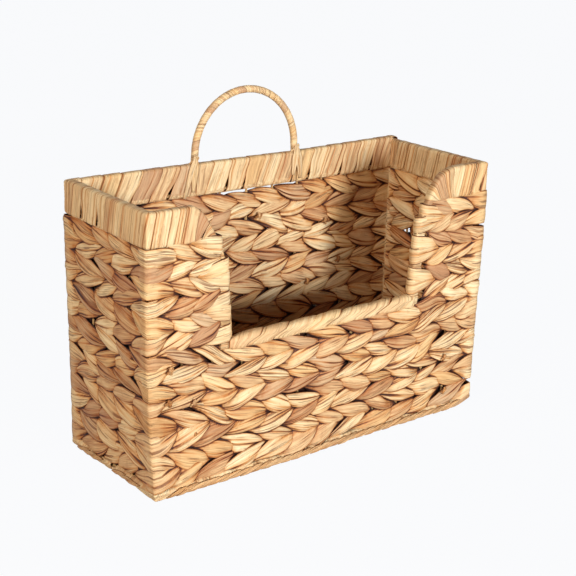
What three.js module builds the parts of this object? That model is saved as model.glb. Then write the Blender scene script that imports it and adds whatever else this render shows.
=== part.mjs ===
// A magazine basket twined from flattened plant stems on a frame of steel wires.
// Millimetres, +Z up, front towards -Y, origin under the middle of the base.
import * as THREE from "three";

// Woven body, outside sizes without the hanging hoop.
const bodyWidth = 368;
const bodyDepth = 135;
const bodyHeight = 244;

// Wires of the frame, and the clearance that every seated piece keeps.
const rimWireDiameter = 3.5;
const stakeDiameter = 2.5;
const cornerBend = 8;
const stakeBend = 3;
const seatGap = 0.3;

// Twined courses: two strands pass before and behind each upright stake and cross between stakes.
const courseCount = 14;
const openCourseCount = 6;
const frontStitches = 12;
const sideStitches = 4;
const strandThickness = 3.8;
const crossingThickness = 6.4;
const foldLength = 5;
const leafEdgeShare = 0.85;
const cornerLifts = [0, 1.9, 7, 2.5, 0, 3.4, 3.6, 0];
const cornerLiftReach = 90;

// Flat strips wound round the wires.
const stripThickness = 1.2;
const turnGap = 0.8;
const rimBandHeight = 29.5;
const bandThickness = 7.4;
const borderHeight = 7.4;
const lipBandHeight = 8.5;
const rimTurnWidth = 15;
const borderTurnWidth = 34;
const lipTurnWidth = 25;
const sideTurnWidth = 13;
const hoopTurnWidth = 14;
const cornerTurns = 2;
const fanStartRise = 2.5;

// Opening in the front wall: its half width grows from the lip to the rim.
const lipHeight = 125.5;
const openingHalfWidth = 98.5;
const sideLean = 6;
const shoulderFlare = 36;
const flarePower = 4.2;
const lipCornerRadius = 6;

// Hanging hoop, a semicircle on two short feet that stand on the back rim.
const hoopWidth = 120;
const hoopRise = 66;
const hoopWireDiameter = 3.5;
const hoopFootFlare = 1;
const hoopCorners = 5;
const hoopSteps = 12;

// Base: one flat weaver goes over and under the cross wires, back and forth.
const baseRows = 8;
const baseStrandThickness = 3;
const baseTurnLength = 7;
const baseRowGap = 0.6;

// Places worked out from the sizes above.
const stakeRadius = stakeDiameter / 2;
const rimWireRadius = rimWireDiameter / 2;
const hoopWireRadius = hoopWireDiameter / 2;
const wallHalf = stakeRadius + seatGap + strandThickness;
const wireX = bodyWidth / 2 - wallHalf;
const wireY = bodyDepth / 2 - wallHalf;
const bandHalf = bandThickness / 2;
const stripReach = stripThickness + seatGap;
const rimWireZ = bodyHeight - stripReach - rimWireRadius;
const rimBandFoot = bodyHeight - rimBandHeight;
const bandWireZ = rimBandFoot + stripReach + rimWireRadius;
const borderWireZ = borderHeight / 2;
const stakeFloorZ = borderHeight + seatGap + stakeRadius;
const weaveFoot = stakeFloorZ + stakeRadius + seatGap;
const weaveTop = rimBandFoot - seatGap;
const lipFoot = lipHeight - lipBandHeight;
const lipWireZ = lipHeight - lipBandHeight / 2;
const courseHeight = (weaveTop - weaveFoot) / courseCount;
const closedCourseCount = courseCount - openCourseCount;
const stitchLength = (2 * wireX) / frontStitches;
const halfStitch = stitchLength / 2;
const sideStitchLength = (2 * wireY) / sideStitches;

const rimWireInset = stripReach + rimWireRadius;
const baseRowPitch = (2 * (wireY - wallHalf - baseRowGap)) / baseRows;
const postInset = cornerBend * (1 - Math.SQRT1_2);

// The stake that bounds each side of the opening, and the strip band wound round it and the rim wire.
const openingRoom = openingAt(weaveTop) + stripThickness + rimWireDiameter;
const openingStakeStitches = Math.ceil(openingRoom / stitchLength);
const openingStakeX = openingStakeStitches * stitchLength;
const sideBandX = openingStakeX + stakeRadius + stripReach;
const sideBandFoot = weaveFoot + closedCourseCount * courseHeight + seatGap;

// Half stitches round the wall, counted from the middle of the front towards +X.
const frontSteps = frontStitches;
const sideSteps = 2 * sideStitches;
const roundSteps = 4 * frontSteps + 2 * sideSteps;

const part = new THREE.Group();
const courseColours = [0xdcb47c, 0xcfa268, 0xe2bf8a, 0xc6965e];
const stripColour = 0xe4c592;
const hoopColour = 0xc99a66;

function stem(colour) {
  return new THREE.MeshStandardMaterial({ color: colour, roughness: 0.78, metalness: 0 });
}

function steel() {
  return new THREE.MeshStandardMaterial({ color: 0x3b342c, roughness: 0.5, metalness: 0.6 });
}

function addPiece(name, geometry, material) {
  const mesh = new THREE.Mesh(geometry, material);
  mesh.name = name;
  part.add(mesh);
}

function point(x, y, z) {
  return new THREE.Vector3(x, y, z);
}

// A closed body through rings of points, all with the same count, capped at both ends unless it is a loop.
function loft(rings, loop = false) {
  const count = rings[0].length;
  const points = rings.flat();
  const faces = [];
  const spans = loop ? rings.length : rings.length - 1;
  for (let i = 0; i < spans; i++) {
    const here = i * count;
    const next = ((i + 1) % rings.length) * count;
    for (let k = 0; k < count; k++) {
      const l = (k + 1) % count;
      faces.push([here + k, here + l, next + l], [here + k, next + l, next + k]);
    }
  }
  const last = (rings.length - 1) * count;
  for (let k = 1; !loop && k < count - 1; k++) {
    faces.push([0, k + 1, k], [last, last + k, last + k + 1]);
  }
  let volume = 0;
  for (const [a, b, c] of faces) {
    volume += points[a].dot(point(0, 0, 0).crossVectors(points[b], points[c]));
  }
  const outward = volume < 0 ? faces.map(([a, b, c]) => [a, c, b]) : faces;
  const geometry = new THREE.BufferGeometry().setFromPoints(points);
  geometry.setIndex(outward.flat());
  geometry.computeVertexNormals();
  return geometry;
}

// A round wire along a list of points.
function wire(points, radius, sides, loop = false) {
  const count = points.length;
  const flat = Math.PI / sides;
  const side = point(0, 0, 0);
  const rings = points.map((middle, i) => {
    const before = loop || i > 0 ? points[(i + count - 1) % count] : middle;
    const after = loop || i < count - 1 ? points[(i + 1) % count] : middle;
    const way = point(0, 0, 0).subVectors(after, before).normalize();
    if (i === 0) side.set(0, 0, 1).cross(way);
    if (i === 0 && side.lengthSq() < Math.abs(way.z)) side.set(1, 0, 0);
    side.addScaledVector(way, -side.dot(way)).normalize();
    const up = point(0, 0, 0).crossVectors(way, side);
    return Array.from({ length: sides }, (_, k) => {
      const angle = flat + 2 * flat * k;
      const across = radius * Math.cos(angle);
      return middle.clone().addScaledVector(side, across).addScaledVector(up, radius * Math.sin(angle));
    });
  });
  return loft(rings, loop);
}

// Points of a quarter turn from one direction to the next, round the corner where two runs would meet.
function bend(corner, from, to, radius, steps = 2) {
  const middle = corner.clone().addScaledVector(from, -radius).addScaledVector(to, radius);
  return Array.from({ length: steps + 1 }, (_, i) => {
    const angle = (Math.PI / 2) * (i / steps);
    return middle
      .clone()
      .addScaledVector(to, -radius * Math.cos(angle))
      .addScaledVector(from, radius * Math.sin(angle));
  });
}

// Half width of the opening at a height above the floor.
function openingAt(z) {
  const share = Math.max(0, (z - lipHeight) / (bodyHeight - lipHeight));
  return openingHalfWidth + sideLean * share + shoulderFlare * share ** flarePower;
}

// Runs of the wall seen from above, from the middle of the front round to the same place.
const alongX = point(1, 0, 0);
const alongY = point(0, 1, 0);
const wallRuns = [
  { steps: frontSteps, from: point(0, -wireY, 0), way: alongX, length: wireX },
  { steps: sideSteps, from: point(wireX, -wireY, 0), way: alongY, length: 2 * wireY },
  { steps: 2 * frontSteps, from: point(wireX, wireY, 0), way: alongX.clone().negate(), length: 2 * wireX },
  { steps: sideSteps, from: point(-wireX, wireY, 0), way: alongY.clone().negate(), length: 2 * wireY },
  { steps: frontSteps, from: point(-wireX, -wireY, 0), way: alongX, length: wireX },
];

// Place on the wall's middle line and the direction out of the basket there, square at the corner posts.
function wallPlace(step) {
  let left = ((step % roundSteps) + roundSteps) % roundSteps;
  let index = 0;
  while (left > wallRuns[index].steps) {
    left -= wallRuns[index].steps;
    index++;
  }
  const run = wallRuns[index];
  const out = point(run.way.y, -run.way.x, 0);
  const place = run.from.clone().addScaledVector(run.way, (run.length * left) / run.steps);
  const next = wallRuns[index + 1];
  if (next && left === run.steps) {
    out.add(point(next.way.y, -next.way.x, 0));
    place.addScaledVector(out, -postInset);
  }
  return { place, out, way: run.way };
}

// The weave isn't beaten down evenly at the front left corner: most levels stand higher there.
function cornerLift(level, place) {
  const pair = Math.min(Math.floor(level / 2), cornerLifts.length - 2);
  const share = level / 2 - pair;
  const lift = cornerLifts[pair] + (cornerLifts[pair + 1] - cornerLifts[pair]) * share;
  const away = Math.abs(place.x + wireX) + Math.abs(place.y + wireY);
  return lift * Math.exp(-((away / cornerLiftReach) ** 2));
}

// Height of a level between courses. Under the lip of the opening the closed courses are packed lower.
function levelZ(level, place) {
  const regular = weaveFoot + level * courseHeight + cornerLift(level, place);
  if (place.y > 0 || Math.abs(place.x) > sideBandX || level > closedCourseCount) return regular;
  const packed = weaveFoot + (level * (lipFoot - seatGap - weaveFoot)) / closedCourseCount;
  if (Math.abs(place.x) < sideBandX - halfStitch) return packed;
  return level < closedCourseCount ? (regular + packed) / 2 : regular;
}

// Section of one strand at a whole half stitch: beside a stake it is outside or inside, tall and thin,
// and where the two strands cross it is above or below.
function strandRingAtStep(step, level, quarter) {
  const { place, out } = wallPlace(step);
  const foot = levelZ(level, place) + seatGap / 2;
  const top = levelZ(level + 1, place) - seatGap / 2;
  const middle = (foot + top) / 2;
  const side = Math.round(Math.cos((quarter * Math.PI) / 2));
  const rise = Math.round(Math.sin((quarter * Math.PI) / 2));
  const at = (across, z) => place.clone().addScaledVector(out, across).setZ(z);
  if (rise === 0) {
    const near = side * (stakeRadius + seatGap);
    const far = side * wallHalf;
    const edge = near + (far - near) * leafEdgeShare;
    const outer = Math.max(near, far);
    const inner = Math.min(near, far);
    return [at(outer, middle), at(edge, top), at(inner, middle), at(edge, foot)];
  }
  const edge = middle + (rise * seatGap) / 2;
  const high = rise > 0 ? top : edge;
  const low = rise > 0 ? edge : foot;
  const half = crossingThickness / 2;
  return [at(half, (high + low) / 2), at(0, high), at(-half, (high + low) / 2), at(0, low)];
}

function strandRing(step, level, twist, start) {
  const before = Math.floor(step);
  const share = step - before;
  const ring = strandRingAtStep(before, level, start + twist * before);
  if (share === 0) return ring;
  const after = strandRingAtStep(before + 1, level, start + twist * (before + 1));
  return ring.map((corner, k) => corner.lerp(after[k], share));
}

// One course: a long strand folded in half, its halves twisted round the stakes in turn.
function course(level, twist, firstStep, lastStep, foldReach) {
  const upperStart = 1 - twist * firstStep;
  const steps = [];
  for (let step = firstStep; step < lastStep; step++) steps.push(step);
  steps.push(lastStep);
  const upper = steps.map((step) => strandRing(step, level, twist, upperStart));
  const lower = steps.map((step) => strandRing(step, level, twist, upperStart + 2));
  const { place, way } = wallPlace(firstStep);
  const middle = (levelZ(level, place) + levelZ(level + 1, place)) / 2;
  const back = (length) => place.clone().addScaledVector(way, -length).setZ(middle);
  const out = point(way.y, -way.x, 0).multiplyScalar(crossingThickness / 2);
  const fold = [back(foldReach / 2).add(out), back(foldReach), back(foldReach / 2).sub(out), back(seatGap)];
  const turned = lower.map(([outer, top, inner, foot]) => [outer, foot, inner, top]);
  const rings = [...upper.reverse(), fold, ...turned];
  // Each four-sided patch is split along the diagonal that leaves the other strand its room.
  return loft(twist > 0 ? rings : rings.map((ring) => ring.reverse()));
}

// The open courses run from one side of the opening round the back to the other.
// The closed ones start and end at a fold on the back wall, each a few stitches further on.
function addCourses() {
  const openStart = openingStakeStitches * 2 + 1;
  const openFold = openStart * halfStitch - sideBandX - seatGap;
  const openEnd = roundSteps - (sideBandX + seatGap) / halfStitch;
  const backStart = frontSteps + sideSteps + 1;
  const startStitches = frontStitches - 2;
  for (let number = 1; number <= courseCount; number++) {
    const twist = number % 2 === 1 ? -1 : 1;
    const level = courseCount - number;
    const closedStart = backStart + 2 * (1 + ((number * 3) % startStitches));
    const closedEnd = closedStart + roundSteps - (foldLength + seatGap) / halfStitch;
    const body =
      number <= openCourseCount
        ? course(level, twist, openStart, openEnd, openFold)
        : course(level, twist, closedStart, closedEnd, foldLength);
    const label = String(number).padStart(2, "0");
    addPiece("twined_course_" + label, body, stem(courseColours[number % courseColours.length]));
  }
}

// The frame: stakes run down the back wall, under the base and up the front wall.
// Those at the opening's sides end below the curve of the rim wire.
function frontStakeTop(x) {
  const stitches = Math.round(Math.abs(x) / stitchLength);
  if (stitches < openingStakeStitches) return lipFoot - seatGap;
  const wireReach = stripReach + rimWireDiameter + seatGap + stakeRadius;
  let top = weaveTop;
  while (openingAt(top + rimWireInset) + wireReach > Math.abs(x)) top -= seatGap;
  return top;
}

function crossStake(x) {
  const down = point(0, 0, -1);
  const up = point(0, 0, 1);
  const ahead = point(0, -1, 0);
  return [
    point(x, wireY, weaveTop),
    ...bend(point(x, wireY, stakeFloorZ), down, ahead, stakeBend),
    ...bend(point(x, -wireY, stakeFloorZ), ahead, up, stakeBend),
    point(x, -wireY, frontStakeTop(x)),
  ];
}

function addStakes() {
  const sides = 5;
  for (let stitch = 1; stitch < frontStitches; stitch++) {
    const x = -wireX + stitch * stitchLength;
    const label = String(stitch).padStart(2, "0");
    addPiece("cross_stake_" + label, wire(crossStake(x), stakeRadius, sides), steel());
  }
  for (const [name, x] of [["left", -wireX], ["right", wireX]]) {
    for (let stitch = 1; stitch < sideStitches; stitch++) {
      const y = -wireY + stitch * sideStitchLength;
      const ends = [point(x, y, borderHeight + seatGap), point(x, y, weaveTop)];
      addPiece("side_stake_" + name + "_" + stitch, wire(ends, stakeRadius, sides), steel());
    }
  }
  for (const [depthName, y] of [["front", -1], ["back", 1]]) {
    for (const [widthName, x] of [["left", -1], ["right", 1]]) {
      const at = (z) => point(x * (wireX - postInset), y * (wireY - postInset), z);
      const ends = [at(borderHeight + seatGap), at(weaveTop)];
      addPiece("corner_post_" + depthName + "_" + widthName, wire(ends, stakeRadius, sides), steel());
    }
  }
}

// The rim wire's line from the front left corner along the tab, down the shoulder and to the lip's corner.
function openingLine() {
  const heightShares = [1, 0.95, 0.86, 0.74, 0.6, 0.42, 0.2];
  const rise = rimWireZ - lipWireZ;
  const line = heightShares.map((share) => {
    const z = lipWireZ + rise * share;
    return point(-openingAt(z + rimWireInset * share) - rimWireInset, -wireY, z);
  });
  const corner = point(-openingHalfWidth - rimWireInset, -wireY, lipWireZ);
  return [...line, ...bend(corner, point(0, 0, -1), alongX, lipCornerRadius)];
}

function mirrored(points) {
  return points.map((p) => point(-p.x, p.y, p.z)).reverse();
}

// Bends of a wire that goes round the back between the two front corners, at one height.
function backBends(z) {
  const left = alongX.clone().negate();
  const ahead = alongY.clone().negate();
  return [
    ...bend(point(wireX, -wireY, z), alongX, alongY, cornerBend),
    ...bend(point(wireX, wireY, z), alongY, left, cornerBend),
    ...bend(point(-wireX, wireY, z), left, ahead, cornerBend),
    ...bend(point(-wireX, -wireY, z), ahead, alongX, cornerBend),
  ];
}

// The hoop from its left foot over to its right foot. It starts above startZ.
function hoopLine(startZ, arcSteps) {
  const reach = hoopWireRadius + stripReach;
  const radius = hoopWidth / 2 - reach;
  const middleZ = bodyHeight + hoopRise - reach - radius;
  const arc = Array.from({ length: arcSteps + 1 }, (_, i) => {
    const angle = Math.PI * (i / arcSteps);
    return point(-radius * Math.cos(angle), wireY, middleZ + radius * Math.sin(angle));
  });
  const footX = radius + hoopFootFlare;
  return [point(-footX, wireY, startZ), ...arc, point(footX, wireY, startZ)];
}

function addWires() {
  const sides = 6;
  const opening = openingLine();
  const rim = [...opening, ...mirrored(opening), ...backBends(rimWireZ)];
  addPiece("rim_wire", wire(rim, rimWireRadius, sides, true), steel());
  const endX = openingAt(bandWireZ + 2 * rimWireDiameter) + stripReach + rimWireDiameter + seatGap;
  const end = point(endX, -wireY, bandWireZ);
  const band = [end, ...backBends(bandWireZ), point(-end.x, end.y, end.z)];
  addPiece("band_wire", wire(band, rimWireRadius, sides), steel());
  addPiece("base_wire", wire(backBends(borderWireZ), rimWireRadius, sides, true), steel());
  const hoopFootZ = rimWireZ + rimWireRadius + seatGap;
  addPiece("hoop_wire", wire(hoopLine(hoopFootZ, hoopSteps), hoopWireRadius, sides), steel());
}

// A flat strip wound round stations. shapeAt(u) gives the corners of one turn's outside at a share u of
// them, in order round it, and the strip goes on by an equal share of a turn from each corner to the next.
// Both ends of the strip are cut square to the run.
function winding(name, shapeAt, turns, colour) {
  const corners = shapeAt(0).length;
  const total = Math.round(turns) * corners;
  const reach = corners / (2 * total);
  const rings = [];
  for (let i = 1; i < total; i++) {
    const u = i / total;
    const k = i % corners;
    const turn = shapeAt(u);
    const here = turn[k];
    const edge = (way) => {
      const half = shapeAt(u + way * reach)[k].distanceTo(here);
      return shapeAt(u + way * (reach - (reach * turnGap) / (2 * half)))[k];
    };
    const inside = here.clone();
    for (const other of [turn[(k + 1) % corners], turn[(k + corners - 1) % corners]]) {
      inside.addScaledVector(other.clone().sub(here).normalize(), stripThickness);
    }
    rings.push([edge(-1), here, edge(1), inside]);
  }
  console.log(name + ": least gap between turns " + leastTurnGap(rings, corners).toFixed(2) + " mm");
  addPiece(name, loft(rings), stem(colour));
}

// The least gap between neighbouring turns, measured on points along their facing edges.
function leastTurnGap(rings, corners) {
  const samples = 6;
  const edge = (i, side) => {
    const from = rings[i][side];
    const to = rings[i + 1][side];
    return Array.from({ length: samples + 1 }, (_, s) => from.clone().lerp(to, s / samples));
  };
  let least = Infinity;
  for (let i = 0; i + corners + 1 < rings.length; i++) {
    for (const a of edge(i, 2)) {
      for (const b of edge(i + corners, 0)) least = Math.min(least, a.distanceTo(b));
    }
  }
  return least;
}

function turnsOf(stations) {
  return stations.reduce((sum, station) => sum + station.turns, 0);
}

// A station's vectors at a share u of a list. Each station counts the turns wound since the one before it.
function vectorsAt(stations, u) {
  let left = Math.min(1, Math.max(0, u)) * turnsOf(stations);
  let i = 1;
  while (left > stations[i].turns && i < stations.length - 1) {
    left -= stations[i].turns;
    i++;
  }
  const share = Math.min(1, left / stations[i].turns);
  return (key) => stations[i - 1][key].clone().lerp(stations[i][key], share);
}

// A flat band between two lines of its stations, wound from the first over its outer face to the second.
function windBand(name, stations, colour = stripColour) {
  const shapeAt = (u) => {
    const vector = vectorsAt(stations, u);
    const out = vector("out").setLength(bandHalf);
    const first = vector("first");
    const second = vector("second");
    return [
      first.clone().add(out),
      second.clone().add(out),
      second.clone().sub(out),
      first.clone().sub(out),
    ];
  };
  winding(name, shapeAt, turnsOf(stations), colour);
}

// Stations of a level band that follows a run in plan, with a round bend at each point between its ends.
function planStations(points, footZ, topZ, turnWidth) {
  const bendSteps = 6;
  const outOf = (way) => point(way.y, -way.x, 0);
  const station = (place, out, turns) => {
    return { first: place.clone().setZ(footZ), second: place.clone().setZ(topZ), out, turns };
  };
  let from = points[0];
  let way = points[1].clone().sub(from).normalize();
  const stations = [station(from, outOf(way), 0)];
  for (let i = 1; i < points.length - 1; i++) {
    const end = points[i].clone().addScaledVector(way, -cornerBend);
    stations.push(station(end, outOf(way), end.distanceTo(from) / turnWidth));
    const nextWay = points[i + 1].clone().sub(points[i]).normalize();
    const bent = bend(points[i], way, nextWay, cornerBend, bendSteps);
    for (let k = 1; k <= bendSteps; k++) {
      const out = outOf(way).lerp(outOf(nextWay), k / bendSteps).normalize();
      stations.push(station(bent[k], out, cornerTurns / bendSteps));
    }
    from = bent[bendSteps];
    way = nextWay;
  }
  const last = points[points.length - 1];
  stations.push(station(last, outOf(way), last.distanceTo(from) / turnWidth));
  return stations;
}

// The same band on the other side of the basket, wound the same way round.
function mirroredStations(stations) {
  const flip = (p) => point(-p.x, p.y, p.z);
  return stations.map((s) => {
    return { first: flip(s.second), second: flip(s.first), out: flip(s.out), turns: s.turns };
  });
}

function windBothSides(name, stations) {
  windBand(name + "_right", stations);
  windBand(name + "_left", mirroredStations(stations));
}

// Strips fan out over the shoulder between the opening and the rim.
function shoulderStations() {
  const steps = 6;
  const startZ = rimBandFoot + fanStartRise;
  const endX = openingAt(bodyHeight);
  const stations = [];
  for (let i = 0; i <= steps; i++) {
    const share = i / steps;
    const z = startZ + (bodyHeight - startZ) * share;
    const second = point(openingAt(z), -wireY, z);
    const first = point(sideBandX + (endX - sideBandX) * share, -wireY, rimBandFoot);
    const turns = i ? second.distanceTo(stations[i - 1].second) / rimTurnWidth : 0;
    stations.push({ first, second, out: point(0, -1, 0), turns });
  }
  return stations;
}

function addRimWraps() {
  const splitY = wireY - cornerBend - seatGap;
  const front = [
    point(openingAt(bodyHeight), -wireY, 0),
    point(wireX, -wireY, 0),
    point(wireX, splitY - seatGap, 0),
  ];
  const level = planStations(front, rimBandFoot, bodyHeight, rimTurnWidth).slice(1);
  windBothSides("rim_wrap_front", [...shoulderStations(), ...level]);
  const hoopX = hoopWidth / 2 - hoopWireRadius - stripReach + hoopFootFlare;
  const legRoom = hoopWireRadius + seatGap;
  const back = [point(wireX, splitY, 0), point(wireX, wireY, 0), point(hoopX + legRoom, wireY, 0)];
  windBothSides("rim_wrap_back", planStations(back, rimBandFoot, bodyHeight, rimTurnWidth));
  const middle = [point(hoopX - legRoom, wireY, 0), point(legRoom - hoopX, wireY, 0)];
  windBand("rim_wrap_back_middle", planStations(middle, rimBandFoot, bodyHeight, rimTurnWidth));
}

function addOpeningWraps() {
  const lip = [point(-openingHalfWidth, -wireY, 0), point(openingHalfWidth, -wireY, 0)];
  windBand("lip_wrap", planStations(lip, lipFoot, lipHeight, lipTurnWidth));
  const steps = 6;
  const rise = weaveTop - sideBandFoot;
  const stations = Array.from({ length: steps + 1 }, (_, i) => {
    const z = sideBandFoot + rise * (i / steps);
    const first = point(sideBandX, -wireY, z);
    const second = point(openingAt(z), -wireY, z);
    const turns = i ? rise / steps / sideTurnWidth : 0;
    return { first, second, out: point(0, -1, 0), turns };
  });
  windBothSides("opening_side_wrap", stations);
}

// The border round the base is wound in two lengths that meet halfway along the sides.
function addBaseBorder() {
  for (const [name, way] of [["front", -1], ["back", 1]]) {
    const run = [
      point(way * wireX, 0, 0),
      point(way * wireX, way * wireY, 0),
      point(-way * wireX, way * wireY, 0),
      point(-way * wireX, 0, 0),
    ];
    windBand("base_border_" + name, planStations(run, 0, borderHeight, borderTurnWidth));
  }
}

function addHoopWrap() {
  const line = hoopLine(bodyHeight + seatGap, hoopSteps);
  const middle = point(0, wireY, line[1].z);
  const stations = line.map((place, i) => {
    const out = place.clone().setZ(Math.max(place.z, middle.z)).sub(middle).normalize();
    return { place, out, turns: i ? place.distanceTo(line[i - 1]) / hoopTurnWidth : 0 };
  });
  const reach = (hoopWireRadius + stripReach) / Math.cos(Math.PI / hoopCorners);
  const shapeAt = (u) => {
    const vector = vectorsAt(stations, u);
    const out = vector("out").normalize();
    return Array.from({ length: hoopCorners }, (_, k) => {
      const angle = (2 * Math.PI * k) / hoopCorners;
      const place = vector("place").addScaledVector(out, reach * Math.cos(angle));
      return place.addScaledVector(alongY, reach * Math.sin(angle));
    });
  };
  winding("hoop_wrap", shapeAt, turnsOf(stations), hoopColour);
}

// One flat weaver fills the base: over one stake, under the next, and back in the next row.
function addBaseWeaver() {
  const half = (baseRowPitch - baseRowGap) / 2;
  const lift = stakeRadius + seatGap + baseStrandThickness / 2;
  const ring = (place, way, width) => {
    const side = point(way.y, -way.x, 0).multiplyScalar(width);
    const rise = point(0, 0, baseStrandThickness / 2);
    return [rise, side, rise.clone().negate(), side.clone().negate()].map((corner) => corner.add(place));
  };
  const rings = [];
  for (let row = 0; row < baseRows; row++) {
    const y = (row - (baseRows - 1) / 2) * baseRowPitch;
    const heading = row % 2 === 0 ? 1 : -1;
    const way = point(heading, 0, 0);
    for (let stitch = 0; stitch <= frontStitches; stitch++) {
      const inner = Math.min(frontStitches - 1 / 2, Math.max(1 / 2, stitch));
      const x = heading * (inner - frontStitches / 2) * stitchLength;
      const side = stitch === inner ? (-1) ** (stitch + row) : 0;
      rings.push(ring(point(x, y, stakeFloorZ + side * lift), way, half));
    }
    if (row === baseRows - 1) break;
    const endX = heading * (wireX - halfStitch + baseTurnLength / 2);
    const fold = point(endX, y + baseRowPitch / 2, stakeFloorZ);
    rings.push(ring(fold, alongY, baseTurnLength / 2 - baseRowGap));
  }
  addPiece("base_weaver", loft(rings), stem(courseColours[1]));
}

addCourses();
addStakes();
addWires();
addRimWraps();
addOpeningWraps();
addBaseBorder();
addBaseWeaver();
addHoopWrap();

export default part;
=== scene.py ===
from collections import namedtuple
from math import copysign, cos, pi, radians, sin, tan

import bpy
import numpy as np
from mathutils import Matrix, Vector


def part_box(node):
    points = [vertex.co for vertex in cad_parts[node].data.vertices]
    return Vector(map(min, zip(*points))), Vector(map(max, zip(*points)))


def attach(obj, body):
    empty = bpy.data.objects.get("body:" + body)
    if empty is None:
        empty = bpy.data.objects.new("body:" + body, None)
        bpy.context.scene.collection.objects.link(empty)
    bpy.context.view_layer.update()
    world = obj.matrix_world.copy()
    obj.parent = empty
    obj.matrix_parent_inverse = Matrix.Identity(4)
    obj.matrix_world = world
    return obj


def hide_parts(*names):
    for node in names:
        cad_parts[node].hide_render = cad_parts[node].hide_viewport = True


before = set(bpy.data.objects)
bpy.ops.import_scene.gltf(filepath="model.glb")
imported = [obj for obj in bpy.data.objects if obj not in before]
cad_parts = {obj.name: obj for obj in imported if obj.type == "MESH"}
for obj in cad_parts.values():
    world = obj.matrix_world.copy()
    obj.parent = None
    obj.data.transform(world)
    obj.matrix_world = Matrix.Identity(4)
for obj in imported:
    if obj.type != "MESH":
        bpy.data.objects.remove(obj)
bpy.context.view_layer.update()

# The basket is dressed in millimetres, and each mesh is made in metres.
MM = 0.001
SEED = 7


def node_box(name):
    """Lowest and highest corner of a CAD node, in millimetres."""
    low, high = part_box(name)
    return np.array(low) / MM, np.array(high) / MM


# Sizes taken from the frame.
WEAVE_LOW, WEAVE_HIGH = node_box("twined_course_10")
HALF_WIDTH, HALF_DEPTH, _ = (WEAVE_HIGH - WEAVE_LOW) / 2
RIM_LOW, RIM_HIGH = node_box("rim_wrap_back_middle")
RIM_FOOT, RIM_TOP = RIM_LOW[2], RIM_HIGH[2]
BAND_THICKNESS = RIM_HIGH[1] - RIM_LOW[1]
WALL_Y = (RIM_HIGH[1] + RIM_LOW[1]) / 2
WALL_X = HALF_WIDTH - (HALF_DEPTH - WALL_Y)
LIP_FOOT, LIP_TOP = (corner[2] for corner in node_box("lip_wrap"))
BORDER_TOP = node_box("base_border_front")[1][2]
WEAVE_FOOT = node_box("twined_course_14")[0][2]
WEAVE_TOP = node_box("twined_course_01")[1][2]
HOOP_LOW, HOOP_HIGH = node_box("hoop_wrap")
BASE_LOW, BASE_HIGH = node_box("base_weaver")

COURSES = 14
OPEN_COURSES = 6
CLOSED_COURSES = COURSES - OPEN_COURSES
FRONT_STITCHES = 12
OPENING_STITCHES = 4
STITCH = 2 * WALL_X / FRONT_STITCHES
CORNER_RADIUS = 1.5
# The wound strips turn the corner more tightly than the stems do.
BAND_BEND = 1.2

# Half stitches round the wall from the middle of the front towards +X: the front's half, a side, the back.
FRONT_STEPS = FRONT_STITCHES
SIDE_STEPS = 8
ROUND_STEPS = 4 * FRONT_STEPS + 2 * SIDE_STEPS
STEP_KNOTS = np.cumsum([0, FRONT_STEPS, SIDE_STEPS, 2 * FRONT_STEPS, SIDE_STEPS, FRONT_STEPS])
LENGTH_KNOTS = np.cumsum([0, WALL_X, 2 * WALL_Y, 2 * WALL_X, 2 * WALL_Y, WALL_X])
CORNERS = np.array([[WALL_X, -WALL_Y], [WALL_X, WALL_Y], [-WALL_X, WALL_Y], [-WALL_X, -WALL_Y]])
WAYS = np.array([[1, 0], [0, 1], [-1, 0], [0, -1], [1, 0]], float)


def smooth(x, low, high):
    """0 below low, 1 above high, and an even curve between."""
    t = np.clip((x - low) / (high - low), 0, 1)
    return t * t * (3 - 2 * t)


def unit(vectors):
    return vectors / np.linalg.norm(vectors, axis=-1, keepdims=True)


def length_along(points):
    return np.concatenate([[0], np.cumsum(np.linalg.norm(np.diff(points, axis=0), axis=1))])


def between(at, knots, points):
    """Points in space between given ones."""
    return np.stack([np.interp(at, knots, points[:, i]) for i in range(3)], -1)


def draws(number):
    return np.random.default_rng(SEED * 1000 + number)


def wall(steps):
    """Places on the wall's middle line, directions along it and directions out of it, seen from above."""
    length = np.interp(np.mod(steps, ROUND_STEPS), STEP_KNOTS, LENGTH_KNOTS)
    run = np.clip(np.searchsorted(LENGTH_KNOTS, length, side="right") - 1, 0, 4)
    way = WAYS[run]
    starts = np.array([[0, -WALL_Y], *CORNERS])
    place = starts[run] + way * (length - LENGTH_KNOTS[run])[:, None]
    for corner in range(4):
        before, after = WAYS[corner], WAYS[corner + 1]
        near = (length - LENGTH_KNOTS[corner + 1]) / CORNER_RADIUS
        bent = np.abs(near) < 1
        angle = (near[bent] + 1) * pi / 4
        middle = CORNERS[corner] + CORNER_RADIUS * (after - before)
        arc = np.sin(angle)[:, None] * before - np.cos(angle)[:, None] * after
        place[bent] = middle + CORNER_RADIUS * arc
        way[bent] = np.cos(angle)[:, None] * before + np.sin(angle)[:, None] * after
    out = np.stack([way[:, 1], -way[:, 0]], 1)
    return place, way, out / np.abs(way).max(1)[:, None]


def lift(points, z):
    """Plan points with their heights, as points in space."""
    return np.concatenate([points, np.broadcast_to(z, (len(points),))[:, None]], 1)


# Per side of the opening, left and right in the photo: distance from the middle at the lip, and how far
# the shoulder draws back over the last few millimetres under the rim.
OPENING_EDGE = {-1: 102.5, 1: 95.5}
SHOULDER_TIP = {-1: 6.0, 1: 16.0}
SHOULDER_FOOT = 190.0
# How far the edge leans out below the shoulder, and how far the shoulder draws back.
EDGE_LEAN, SHOULDER_DRAW = 4.0, 28.0


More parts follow.
